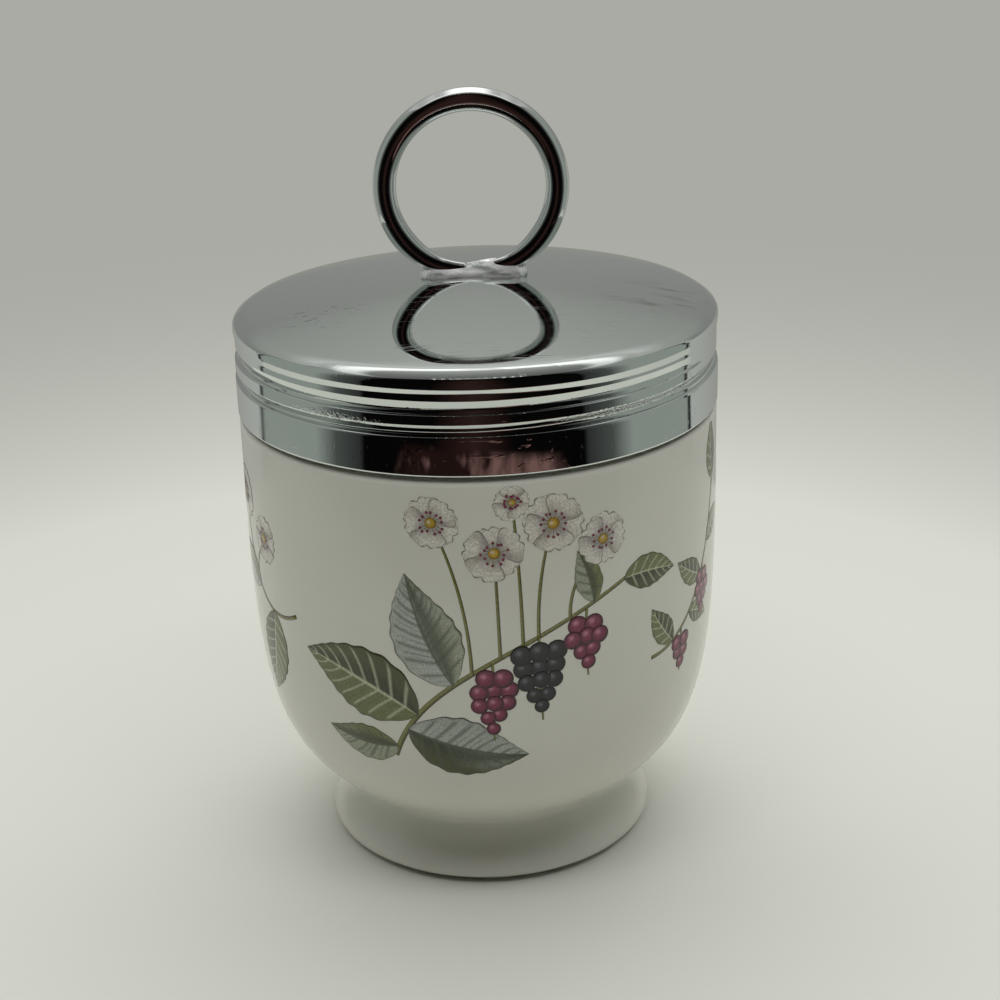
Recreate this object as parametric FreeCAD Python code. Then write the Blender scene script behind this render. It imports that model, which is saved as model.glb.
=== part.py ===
# Porcelain egg coddler with a chromed screw lid and a soldered lifting ring.
# Millimetres. The origin is the middle of the foot's resting circle, +Z is up, and the
# ring's plane faces -Y. The lid unscrews by turning anticlockwise, seen from above.
import FreeCAD, Part
import math
import os

Vector = FreeCAD.Vector

# ---- Driving dimensions ----

# Porcelain cup, outside
foot_radius = 24.1            # widest line of the flared foot
foot_edge_height = 1.4        # height of that line above the table
foot_edge_inset = 1.3         # the flat under the foot ends this far inside that line
foot_ring_width = 2.8         # flat ring that the cup stands on
foot_recess = 3.2             # shallow hollow under the foot
foot_fullness = 0.50          # share of the flare's height over which it stays wide
waist_radius = 21.2           # narrowest line, between foot and bowl
waist_height = 8.2
waist_fullness = 0.35         # share of the flare's height over which it stays narrow
bowl_start_rise = 2.0         # the bowl's curve starts this far above the waist
bowl_start_step = 1.2         # and this far outside it
bowl_start_angle = 42.4       # degrees above the horizontal
bowl_start_fullness = 0.265   # shares of the bowl's height that its curve keeps to each end's
bowl_end_fullness = 0.712     # direction
body_radius = 33.65           # widest line of the body
body_straight_height = 16.1   # from that line up to the shelf under the lid
ledge_height = 65.2           # the shelf, at the foot of the neck
ledge_inset = 0.1             # the body draws in by this much up to the shelf
ledge_rounding = 0.9

# Porcelain cup, neck and inside
ledge_width = 1.4             # from the edge of the shelf in to the neck
neck_height = 11.0            # from the shelf to the rim
neck_wall = 2.9
rim_rounding = 1.0            # outside of the rim
rim_chamfer = 0.5             # inside of the rim
floor_thickness = 6.6         # between the recess under the foot and the cavity
cavity_curve_drop = 6.1       # the inside starts to curve this far below the widest line
cavity_floor_fullness = 0.65  # share of the bore's radius over which the floor stays flat
cavity_wall_fullness = 0.83   # share of the curve's height over which the wall stays upright

# Screw thread, right-handed, eight turns to the inch
thread_lead = 3.175
thread_height = 0.8           # ridge moulded on the neck
thread_root_width = 1.5
thread_crest_width = 0.7
thread_crest_clearance = 0.25 # from the ridge's crest to the lid's inner wall
thread_flank_clearance = 0.3  # along the axis, on the side that pulls the lid down
thread_above_ledge = 4.8      # where the ridge starts
thread_below_rim = 1.6        # where it ends
roll_height = 0.55            # the lid's rolled thread, as it stands out inside
roll_root_width = 1.3
roll_tip_width = 0.7
groove_depth = 0.35           # the same roll, as it shows outside
groove_mouth_width = 1.5
groove_floor_width = 0.7
roll_above_skirt = 1.0        # height of its lower turn at the front
roll_first_angle = -110.0     # degrees anticlockwise from the front
roll_below_shoulder = 1.75    # where it ends
fade_angle = 45.0             # each thread runs out over this angle
fade_margin = 0.15            # a run-out thread ends this far below its surface
thread_root_depth = 0.5       # how far a thread's body reaches into the wall

# Pressed lid
sheet_thickness = 0.45
edge_gap = 0.5                # between the porcelain shelf and the lid's lower edge
edge_rounding = 0.2
skirt_height = 5.1            # plain band below the thread
band_step = 0.12              # the wall above that band is this much smaller
band_step_height = 0.25
shoulder_radius = 1.3
dome_radius = 120.0           # sphere that the top belongs to

# Seal washer inside the lid
seal_thickness = 1.5
seal_width = 3.4
seal_rounding = 0.25
seal_side_clearance = 0.35    # to the lid's wall
seal_top_clearance = 0.37     # to the underside of the dome

# Lifting ring and its solder
ring_radius = 11.74           # to the middle of the wire
ring_wire = 3.2
ring_ground_off = 1.35        # taken off the bottom of the ring to seat it on the dome
wire_notch_width = 1.0        # open V inside the ring where the ends of the wire meet
wire_notch_depth = 0.9
wire_notch_offset = -0.7      # along X, from the middle of the ring
solder_length = 14.9
solder_width = 4.4
solder_height = 1.2
solder_rounding = 0.5

# ---- Sizes that follow from them ----

body_widest_height = ledge_height - body_straight_height
ledge_radius = body_radius - ledge_inset
neck_radius = ledge_radius - ledge_width
rim_height = ledge_height + neck_height
bore_radius = neck_radius - neck_wall
cavity_floor_height = foot_recess + floor_thickness
cavity_curve_top = body_widest_height - cavity_curve_drop

lid_inner_radius = neck_radius + thread_height + thread_crest_clearance
lid_radius = lid_inner_radius + sheet_thickness
upper_wall_radius = lid_radius - band_step
lid_edge_height = ledge_height + edge_gap
skirt_top_height = lid_edge_height + skirt_height

seal_outer_radius = lid_inner_radius - seal_side_clearance
seal_inner_radius = seal_outer_radius - seal_width
seal_top_height = rim_height + seal_thickness

inner_dome_radius = dome_radius - sheet_thickness
seal_dome_rise = inner_dome_radius - math.sqrt(inner_dome_radius ** 2 - seal_outer_radius ** 2)
inner_apex_height = seal_top_height + seal_top_clearance + seal_dome_rise
apex_height = inner_apex_height + sheet_thickness
shoulder_centre_radius = upper_wall_radius - shoulder_radius
shoulder_start_height = (apex_height - dome_radius
                         + math.sqrt((dome_radius - shoulder_radius) ** 2 - shoulder_centre_radius ** 2))
ring_centre_height = apex_height + ring_radius + ring_wire / 2 - ring_ground_off

# Heights of the rolled thread and of the neck's ridge at the front. The ridge bears on the
# rolled one from above, so it lies half of both widths and the clearance higher.
roll_front_height = skirt_top_height + roll_above_skirt
shared_depth = roll_height - thread_crest_clearance
roll_width_there = roll_tip_width + (roll_root_width - roll_tip_width) * shared_depth / roll_height
ridge_above_roll = (roll_width_there + thread_crest_width) / 2 + thread_flank_clearance
ridge_front_height = roll_front_height + ridge_above_roll

# Where the threads start and end, in degrees anticlockwise from the front.
ridge_first_angle = 360 * (ledge_height + thread_above_ledge - ridge_front_height) / thread_lead
ridge_last_angle = 360 * (rim_height - thread_below_rim - ridge_front_height) / thread_lead
roll_last_angle = 360 * (shoulder_start_height - roll_below_shoulder - roll_front_height) / thread_lead

path_points_per_turn = 24
beyond = 1.0                  # how far a cutting body reaches past what it cuts


# ---- Helpers ----

def at(radius, height):
    """A point of an upright profile in the XZ plane."""
    return Vector(radius, 0, height)


def line(start, end):
    return Part.makeLine(start, end)


def bezier(*poles):
    curve = Part.BezierCurve()
    curve.setPoles(list(poles))
    return curve.toShape()


def arc(centre, radius, first_angle, last_angle):
    """Arc in the XZ plane. Angles are in degrees from +X towards +Z."""
    points = []
    for angle in (first_angle, (first_angle + last_angle) / 2, last_angle):
        turn = math.radians(angle)
        points.append(centre + Vector(radius * math.cos(turn), 0, radius * math.sin(turn)))
    return Part.Arc(*points).toShape()


def start_of(edge):
    return edge.valueAt(edge.FirstParameter)


def end_of(edge):
    return edge.valueAt(edge.LastParameter)


def turned(edges):
    """Solid of revolution about Z. The edges run in order and are closed by straight lines."""
    joined = []
    for edge, following in zip(edges, edges[1:] + edges[:1]):
        joined.append(edge)
        if end_of(edge).distanceToPoint(start_of(following)) > 1e-6:
            joined.append(line(end_of(edge), start_of(following)))
    solid = Part.Face(Part.Wire(joined)).revolve(Vector(0, 0, 0), Vector(0, 0, 1), 360)
    if solid.Volume < 0:
        solid.reverse()
    return solid


def thread_path(radius, front_height, first_angle, last_angle, fade_shift):
    """Right-handed helix that drifts by fade_shift in radius where it runs out at its ends."""
    points = []
    steps = math.ceil((last_angle - first_angle) * path_points_per_turn / 360)
    for step in range(steps + 1):
        angle = first_angle + (last_angle - first_angle) * step / steps
        nearest_end = min(angle - first_angle, last_angle - angle)
        gone = max(0.0, 1 - nearest_end / fade_angle)
        here = radius + fade_shift * gone * gone * (3 - 2 * gone)
        turn = math.radians(angle)
        height = front_height + thread_lead * angle / 360
        points.append(Vector(here * math.sin(turn), -here * math.cos(turn), height))
    curve = Part.BSplineCurve()
    curve.interpolate(points)
    return Part.Wire(curve.toShape())


def thread_body(surface_radius, front_height, first_angle, last_angle, depth, root_width, tip_width):
    """Solid ridge that follows a helix on a cylinder.

    depth is measured outwards from the surface, and is negative for a ridge towards the axis.
    The flanks go on past the surface, on its other side, by thread_root_depth.
    """
    outward = math.copysign(1, depth)
    path = thread_path(surface_radius, front_height, first_angle, last_angle,
                       -depth - outward * fade_margin)
    base_reach = -outward * thread_root_depth
    base_width = root_width + (root_width - tip_width) * thread_root_depth / abs(depth)
    turn = math.radians(first_angle)
    radial = Vector(math.sin(turn), -math.cos(turn), 0)
    corners = []
    for reach, across in ((base_reach, -base_width), (depth, -tip_width),
                          (depth, tip_width), (base_reach, base_width)):
        corners.append(path.Vertexes[0].Point + radial * reach + Vector(0, 0, across / 2))
    sweep = Part.BRepOffsetAPI.MakePipeShell(path)
    sweep.setBiNormalMode(Vector(0, 0, 1))
    sweep.add(Part.makePolygon(corners + corners[:1]))
    sweep.build()
    sweep.makeSolid()
    solid = sweep.shape()
    if solid.Volume < 0:
        solid.reverse()
    return solid


def dome_profile(wall_radius, corner_radius, sphere_radius, top_height):
    """Arcs from a straight wall over its rounded shoulder to the top of the dome."""
    sphere_centre = at(0, top_height - sphere_radius)
    corner_reach = wall_radius - corner_radius
    corner_rise = math.sqrt((sphere_radius - corner_radius) ** 2 - corner_reach ** 2)
    corner_centre = sphere_centre + at(corner_reach, corner_rise)
    join_angle = math.degrees(math.atan2(corner_rise, corner_reach))
    return [
        arc(corner_centre, corner_radius, 0, join_angle),
        arc(sphere_centre, sphere_radius, join_angle, 90),
    ]


def dome_ball():
    """Everything under the lid's outer dome, for seating the ring and its solder."""
    return Part.makeSphere(dome_radius, at(0, apex_height - dome_radius))


# ---- Pieces ----

def make_cup():
    """Glazed porcelain: flared foot, round bowl, threaded neck and plain cavity."""
    slope = math.radians(bowl_start_angle)
    bowl_direction = at(math.cos(slope), math.sin(slope))
    bowl_start = at(waist_radius + bowl_start_step, waist_height + bowl_start_rise)
    bowl_rise = body_widest_height - bowl_start.z
    flare_rise = waist_height - foot_edge_height
    waist = at(waist_radius, waist_height)
    foot_edge = at(foot_radius, foot_edge_height)
    flat_outer = at(foot_radius - foot_edge_inset, 0)
    widest = at(body_radius, body_widest_height)
    outside = [
        line(at(0, 0), flat_outer),
        bezier(flat_outer, at(foot_radius, 0), foot_edge),
        bezier(foot_edge, foot_edge + at(0, foot_fullness * flare_rise),
               waist - at(0, waist_fullness * flare_rise), waist),
        bezier(waist, waist + at(0, bowl_start_rise / 2), bowl_start - bowl_direction, bowl_start),
        bezier(bowl_start, bowl_start + bowl_direction * bowl_start_fullness * bowl_rise,
               widest - at(0, bowl_end_fullness * bowl_rise), widest),
        line(widest, at(ledge_radius, ledge_height - ledge_rounding)),
        arc(at(ledge_radius - ledge_rounding, ledge_height - ledge_rounding), ledge_rounding, 0, 90),
        line(at(neck_radius, ledge_height), at(neck_radius, rim_height - rim_rounding)),
        arc(at(neck_radius - rim_rounding, rim_height - rim_rounding), rim_rounding, 0, 90),
        line(at(0, rim_height), at(0, 0)),
    ]
    curve_top = at(bore_radius, cavity_curve_top)
    curve_height = cavity_curve_top - cavity_floor_height
    floor_middle = at(0, cavity_floor_height)
    inside = [
        bezier(floor_middle, floor_middle + at(cavity_floor_fullness * bore_radius, 0),
               curve_top - at(0, cavity_wall_fullness * curve_height), curve_top),
        line(curve_top, at(bore_radius, rim_height - rim_chamfer)),
        line(at(bore_radius, rim_height - rim_chamfer), at(bore_radius + rim_chamfer, rim_height)),
        line(at(bore_radius + rim_chamfer, rim_height + beyond), at(0, rim_height + beyond)),
    ]
    recess_radius = foot_radius - foot_edge_inset - foot_ring_width
    recess = Part.makeCone(recess_radius, recess_radius - foot_recess, foot_recess)
    ridge = thread_body(neck_radius, ridge_front_height, ridge_first_angle, ridge_last_angle,
                        thread_height, thread_root_width, thread_crest_width)
    return turned(outside).fuse(ridge).cut(turned(inside)).cut(recess)


def make_lid_shell():
    """Brass sheet pressed to a shallow dome, with a rolled thread and a plain skirt."""
    outer = [
        line(at(0, lid_edge_height), at(lid_radius - edge_rounding, lid_edge_height)),
        arc(at(lid_radius - edge_rounding, lid_edge_height + edge_rounding), edge_rounding, -90, 0),
        line(at(lid_radius, lid_edge_height + edge_rounding), at(lid_radius, skirt_top_height)),
        line(at(lid_radius, skirt_top_height), at(upper_wall_radius, skirt_top_height + band_step_height)),
    ]
    outer += dome_profile(upper_wall_radius, shoulder_radius, dome_radius, apex_height)
    inner = [line(at(0, lid_edge_height - beyond), at(lid_inner_radius, lid_edge_height - beyond))]
    inner += dome_profile(lid_inner_radius, shoulder_radius - sheet_thickness, inner_dome_radius,
                          inner_apex_height)
    groove = thread_body(upper_wall_radius, roll_front_height, roll_first_angle, roll_last_angle,
                         -groove_depth, groove_mouth_width, groove_floor_width)
    ridge = thread_body(lid_inner_radius, roll_front_height, roll_first_angle, roll_last_angle,
                        -roll_height, roll_root_width, roll_tip_width)
    return turned(outer).cut(groove).cut(turned(inner).cut(ridge))


def make_seal():
    """Flat washer between the porcelain rim and the lid."""
    washer = Part.makeCylinder(seal_outer_radius, seal_thickness, at(0, rim_height))
    hole = Part.makeCylinder(seal_inner_radius, seal_thickness + 2 * beyond, at(0, rim_height - beyond))
    washer = washer.cut(hole)
    top_edges = [edge for edge in washer.Edges
                 if abs(edge.BoundBox.ZMin - seal_top_height) < 1e-6 and len(edge.Vertexes) == 1]
    return washer.makeFillet(seal_rounding, top_edges)


def make_ring():
    """Round wire bent to a ring, its lowest part ground to the shape of the dome."""
    ring = Part.makeTorus(ring_radius, ring_wire / 2, at(0, ring_centre_height), Vector(0, 1, 0))
    notch_tip = at(wire_notch_offset, ring_centre_height - ring_radius + ring_wire / 2 - wire_notch_depth)
    notch_rise = wire_notch_depth + beyond
    half_width = wire_notch_width / 2 * notch_rise / wire_notch_depth
    corners = [notch_tip, notch_tip + at(half_width, notch_rise), notch_tip + at(-half_width, notch_rise)]
    triangle = Part.Face(Part.makePolygon(corners + corners[:1]))
    triangle.translate(Vector(0, -ring_wire, 0))
    return ring.cut(dome_ball()).cut(triangle.extrude(Vector(0, 2 * ring_wire, 0)))


def make_solder(ring):
    """Pad of solder with round ends that fills the corner between ring and dome."""
    end_radius = solder_width / 2
    end_distance = solder_length / 2 - end_radius
    dome_drop = solder_length ** 2 / (8 * dome_radius)
    below = dome_drop + beyond
    base = at(0, apex_height - below)
    height = solder_height + below
    pad = Part.makeBox(2 * end_distance, solder_width, height, base - Vector(end_distance, end_radius, 0))
    for side in (-1, 1):
        pad = pad.fuse(Part.makeCylinder(end_radius, height, base + Vector(side * end_distance, 0, 0)))
    pad = pad.removeSplitter()
    top_height = apex_height + solder_height
    top_edges = [edge for edge in pad.Edges if edge.BoundBox.ZMin > top_height - 1e-6]
    return pad.makeFillet(solder_rounding, top_edges).cut(dome_ball()).cut(ring)


os.makedirs("parts", exist_ok=True)
lift_ring = make_ring()
pieces = {
    "cup": make_cup(),
    "lid_seal": make_seal(),
    "lid_shell": make_lid_shell(),
    "lift_ring": lift_ring,
    "ring_solder": make_solder(lift_ring),
}
for name, shape in pieces.items():
    shape.exportStep("parts/" + name + ".step")
    box = shape.BoundBox
    print(name, "solids", len(shape.Solids), "valid", shape.isValid(), "volume", round(shape.Volume, 1),
          "z", round(box.ZMin, 2), round(box.ZMax, 2), "x", round(box.XMin, 2), round(box.XMax, 2))
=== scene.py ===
# Porcelain egg coddler: the glazed cup, its printed fruit sprays and the chromed screw lid,
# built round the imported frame. Dictionaries are in millimetres and degrees, unless a note says otherwise.
import bpy
import math
import numpy as np
from mathutils import Matrix, Vector


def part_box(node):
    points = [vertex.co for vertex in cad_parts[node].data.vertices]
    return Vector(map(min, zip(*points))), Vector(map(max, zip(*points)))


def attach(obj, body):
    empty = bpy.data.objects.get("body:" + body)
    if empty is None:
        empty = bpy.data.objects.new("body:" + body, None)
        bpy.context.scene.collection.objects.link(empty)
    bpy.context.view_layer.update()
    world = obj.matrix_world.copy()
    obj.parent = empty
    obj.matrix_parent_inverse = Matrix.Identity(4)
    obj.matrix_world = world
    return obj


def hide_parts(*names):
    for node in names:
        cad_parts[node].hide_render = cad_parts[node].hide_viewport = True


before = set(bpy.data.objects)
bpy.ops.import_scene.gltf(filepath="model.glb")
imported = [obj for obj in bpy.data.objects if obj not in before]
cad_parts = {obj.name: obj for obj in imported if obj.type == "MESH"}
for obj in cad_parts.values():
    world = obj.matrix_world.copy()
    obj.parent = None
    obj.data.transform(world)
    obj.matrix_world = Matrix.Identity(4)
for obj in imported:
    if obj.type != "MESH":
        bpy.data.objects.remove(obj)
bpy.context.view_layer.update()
mm = 0.001


# Small tools

def toLinear(hexColour):
    # sRGB hex to the linear values that shaders take
    parts = np.array([int(hexColour[i:i + 2], 16) for i in (1, 3, 5)]) / 255
    linear = np.where(parts <= 0.04045, parts / 12.92, ((parts + 0.055) / 1.055) ** 2.4)
    return (*linear, 1.0)


def smooth(x, low, high):
    # 0 below low, 1 above high, eased between
    t = np.clip((x - low) / (high - low), 0, 1)
    return t * t * (3 - 2 * t)


def bez(points, n):
    # points of a Bezier curve of any degree, by repeated blending
    t = np.linspace(0, 1, n)[:, None]
    layer = [np.asarray(p, float)[None, :] + 0 * t for p in points]
    while len(layer) > 1:
        layer = [a + (b - a) * t for a, b in zip(layer, layer[1:])]
    return layer[0]


def arcPoints(centre, radius, first, last, n):
    # points of a circle, angles from the radial direction towards the axis direction
    a = np.radians(np.linspace(first, last, n))
    return np.stack([centre[0] + radius * np.cos(a), centre[1] + radius * np.sin(a)], -1)


def run(start, end, n):
    # straight run with its points drawn together at both ends, which keeps roundings crisp
    t = (1 - np.cos(np.linspace(0, math.pi, n))) / 2
    return np.asarray(start, float) + t[:, None] * (np.asarray(end, float) - np.asarray(start, float))


def joined(*stretches):
    # one outline from several stretches, without the points that they share
    kept = [stretches[0]]
    for stretch in stretches[1:]:
        same = np.allclose(stretch[0], kept[-1][-1], atol=1e-6)
        kept.append(stretch[1:] if same else stretch)
    return np.concatenate(kept)


def addObject(name, points, faces, body=None, material=None):
    # points in millimetres, faces a list of index arrays of equal row length
    data = bpy.data.meshes.new(name)
    rows = [np.asarray(f) for f in faces]
    sizes = np.concatenate([np.full(len(f), f.shape[1]) for f in rows])
    corners = np.concatenate([f.ravel() for f in rows])
    data.vertices.add(len(points))
    data.vertices.foreach_set("co", (np.asarray(points) * mm).astype(np.float32).ravel())
    data.loops.add(len(corners))
    data.loops.foreach_set("vertex_index", corners.astype(np.int32))
    data.polygons.add(len(sizes))
    data.polygons.foreach_set("loop_start", np.concatenate([[0], np.cumsum(sizes)[:-1]]).astype(np.int32))
    data.polygons.foreach_set("use_smooth", np.ones(len(sizes), bool))
    data.update(calc_edges=True)
    data.validate()
    thing = bpy.data.objects.new(name, data)
    bpy.context.scene.collection.objects.link(thing)
    if material:
        data.materials.append(material)
    if body:
        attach(thing, body)
    return thing


def gridFaces(rows, columns, closeRows=False, closeColumns=False, first=0):
    # quads of a grid of points, numbered row by row
    i = np.arange(rows if closeRows else rows - 1)[:, None]
    j = np.arange(columns if closeColumns else columns - 1)[None, :]
    a, b = i * columns, ((i + 1) % rows) * columns
    k = (j + 1) % columns
    return first + np.stack([a + j, a + k, b + k, b + j], -1).reshape(-1, 4)


def shellFaces(faces, n, first=0):
    # faces of a thin closed shell: its n upper points are followed by as many lower ones
    edges = np.concatenate([np.roll(faces, -k, 1)[:, :2] for k in range(4)])
    _, where, count = np.unique(edges.min(1) * n + edges.max(1), return_index=True, return_counts=True)
    rim = edges[where[count == 1]]
    side = np.stack([rim[:, 1], rim[:, 0], rim[:, 0] + n, rim[:, 1] + n], -1)
    return first + faces, np.concatenate([first + n + faces[:, ::-1], first + side])


def revolve(name, grid, startPole=None, endPole=None, closeRows=False, **how):
    # grid holds one closed circle of points in each row, and a pole closes an end with a fan
    rows, columns = grid.shape[:2]
    points = grid.reshape(-1, 3)
    faces = [gridFaces(rows, columns, closeRows, True)]
    j = np.arange(columns)
    following = (j + 1) % columns
    if startPole is not None:
        points = np.concatenate([points, [[0, 0, startPole]]])
        faces.append(np.stack([following, j, np.full(columns, len(points) - 1)], -1))
    if endPole is not None:
        points = np.concatenate([points, [[0, 0, endPole]]])
        last = (rows - 1) * columns
        faces.append(np.stack([last + j, last + following, np.full(columns, len(points) - 1)], -1))
    return addObject(name, points, faces, **how)


def around(radius, height, turn):
    # turn is in degrees from the front, anticlockwise seen from above
    a = np.radians(turn)
    radius, height, a = np.broadcast_arrays(radius, height, a)
    return np.stack([radius * np.sin(a), -radius * np.cos(a), height], -1)


def addNode(tree, kind, inputs=(), stops=(), **settings):
    # a node with its settings. Inputs go by name, or in the order in which the node shows them, and
    # each is a value, a node or one of a node's outputs. Stops are the places and colours of a ramp.
    node = tree.nodes.new("ShaderNode" + kind)
    for name, value in settings.items():
        setattr(node, name, value)
    while stops and len(node.color_ramp.elements) < len(stops):
        node.color_ramp.elements.new(0.5)
    for number, (place, colour) in enumerate(stops):
        node.color_ramp.elements[number].position = place
        node.color_ramp.elements[number].color = toLinear(colour)
    shown = [s for s in node.inputs if s.enabled]
    for key, value in inputs.items() if isinstance(inputs, dict) else enumerate(inputs):
        socket = shown[key] if isinstance(key, int) else next(s for s in shown if s.name == key)
        if isinstance(value, bpy.types.Node):
            value = next(s for s in value.outputs if s.enabled)
        if isinstance(value, bpy.types.NodeSocket):
            tree.links.new(value, socket)
        else:
            socket.default_value = value
    return node


def startMaterial(name):
    # an empty material, its tree and the place on the object in metres
    material = bpy.data.materials.new(name)
    material.use_nodes = True
    tree = material.node_tree
    tree.nodes.clear()
    return material, tree, addNode(tree, "TexCoord").outputs["Object"]


def finishMaterial(tree, shader):
    # ends a material with its shader
    addNode(tree, "OutputMaterial", {"Surface": shader})


# Camera: it looks down at the front of the cup

camera = dict(distance=241.25, height=145.38, turnRight=0.634, lookDown=21.719, lean=-1.701,
              focal=64.51, sensor=36.0)


def makeCamera(c):
    # the viewing direction from its turn and dip, then the picture leant about that direction
    turn, down, lean = (math.radians(c[k]) for k in ("turnRight", "lookDown", "lean"))
    ahead = Vector((math.sin(turn) * math.cos(down), math.cos(turn) * math.cos(down), -math.sin(down)))
    right = Vector((math.cos(turn), -math.sin(turn), 0))
    up = right.cross(ahead)
    across = right * math.cos(lean) + up * math.sin(lean)
    upright = up * math.cos(lean) - right * math.sin(lean)
    data = bpy.data.cameras.new("camera")
    data.sensor_width = c["sensor"]
    data.lens = c["focal"]
    data.clip_start = 0.01
    thing = bpy.data.objects.new("camera", data)
    pose = Matrix((across, upright, -ahead)).transposed().to_4x4()
    pose.translation = Vector((0, -c["distance"] * mm, c["height"] * mm))
    thing.matrix_world = pose
    bpy.context.scene.collection.objects.link(thing)
    bpy.context.scene.camera = thing


makeCamera(camera)
print("camera in place")


# Stage: a pale paper sheet in a grey room. Shiny surfaces also see the room's dark front, the sheet
# behind them with a painted shadow line at its edge, and a strip of small lamps overhead.

stage = dict(
    tableReach=1600.0, sheetColour="#DDDED6", roomColour="#AAABA4",
    fadeStart=138.0, fadeLength=300.0, fadeCentre=-10.0, fadePower=3.0,
    mirrorSheet=132.0, mirrorBlend=3.0, mirrorWide=1.5, frontTurn=2.5,
    darkColour="#080707",
    # colours at the height of the horizon by degrees from the front: the warm middle of a dark front,
    # the room's side, the backdrop's thin edge drawn as a painted shadow line, and the backdrop
    roundStops=((0.0, "#30201D"), (7.0, "#261816"), (17.0, "#080707"), (48.0, "#080707"), (50.0, "#333534"),
                (62.0, "#505351"), (73.0, "#979D98"), (109.8, "#979D98"), (111.4, "#2A2C2A"),
                (112.6, "#2A2C2A"), (114.2, "#B9BAB6"), (132.0, "#ADAEA9"), (156.0, "#979892"),
                (180.0, "#92938E")),
    warmColours=("#241614", "#7C5C58"), warmReach=(224.0, 217.0), warmHalf=128.0, warmBlend=25.0,
    warmScale=55.0, warmSides=(-0.03, 0.03, -0.12, 0.12), warmSpan=(0.4, 0.7),
    # colours from the horizon (0) to the point overhead (1), and overhead from the front to the back
    climbStops=((0, "#757674"), (0.35, "#797A77"), (0.45, "#848582"), (0.55, "#8A8B88"), (0.64, "#8F908D"),
                (0.7, "#A0A19F"), (0.75, "#B2B2B1"), (0.775, "#A2A3A0"), (0.8, "#AFAFAD"), (0.83, "#FFFFFF"),
                (0.87, "#FFFFFF"), (0.9, "#90908E")),
    forwardStops=((0.04, "#000000"), (0.27, "#929292"), (0.57, "#C5C5C5"), (0.77, "#F5F5F5"),
                  (0.84, "#FFFFFF")),
    forwardSpan=(-0.4, 0.6), overheadGlare=1.6, dullSpan=(0.08, 0.32), dullSides=0.9,
    # where each part begins and is full, in parts of a direction of length 1
    behindSpan=(-0.37, -0.34), belowSpan=(0.02, -0.02), backSpan=(0.36, 0.46), highSpan=(0.70, 0.80),
    ceilingRise=(0.72, 0.86), ceilingAhead=(-0.34, -0.37),
    dotPitch=0.0196, dotAhead=0.10, dotEdge=(0.0085, 0.006), dotReach=0.20, dotRise=0.8, dotGlow=4.0,
    lampAcross=30.0, lampHeight=470.0, lampSize=(460.0, 140.0), lampPlaces=(-182.0, 240.0),
    lampWatts=(0.78, 0.46), skyStrength=1.38, skyRise=(0.1, 0.8),
    # what fills the room from the front (0) to the back (1), low down and high up
    lowStops=((0.45, "#000000"), (0.8, "#656565")), skyStops=((0.3, "#000000"), (0.6, "#FFFFFC")))


def surroundings(tree, across, ahead, s):
    # colours by the angle from the front, which is the arctangent of across over ahead
    front = addNode(tree, "Math", (ahead, -1.0), operation="MULTIPLY")
    angle = addNode(tree, "Math", (across, front), operation="ARCTAN2")
    angle = addNode(tree, "Math", (angle,), operation="DEGREES")
    angle = addNode(tree, "Math", (angle, s["frontTurn"]), operation="ADD")
    angle = addNode(tree, "Math", (angle,), operation="ABSOLUTE")
    turned = addNode(tree, "Math", (angle, 180.0), operation="DIVIDE")
    stops = [(place / 180, colour) for place, colour in s["roundStops"]]
    return addNode(tree, "ValToRGB", (turned,), stops=stops)


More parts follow.
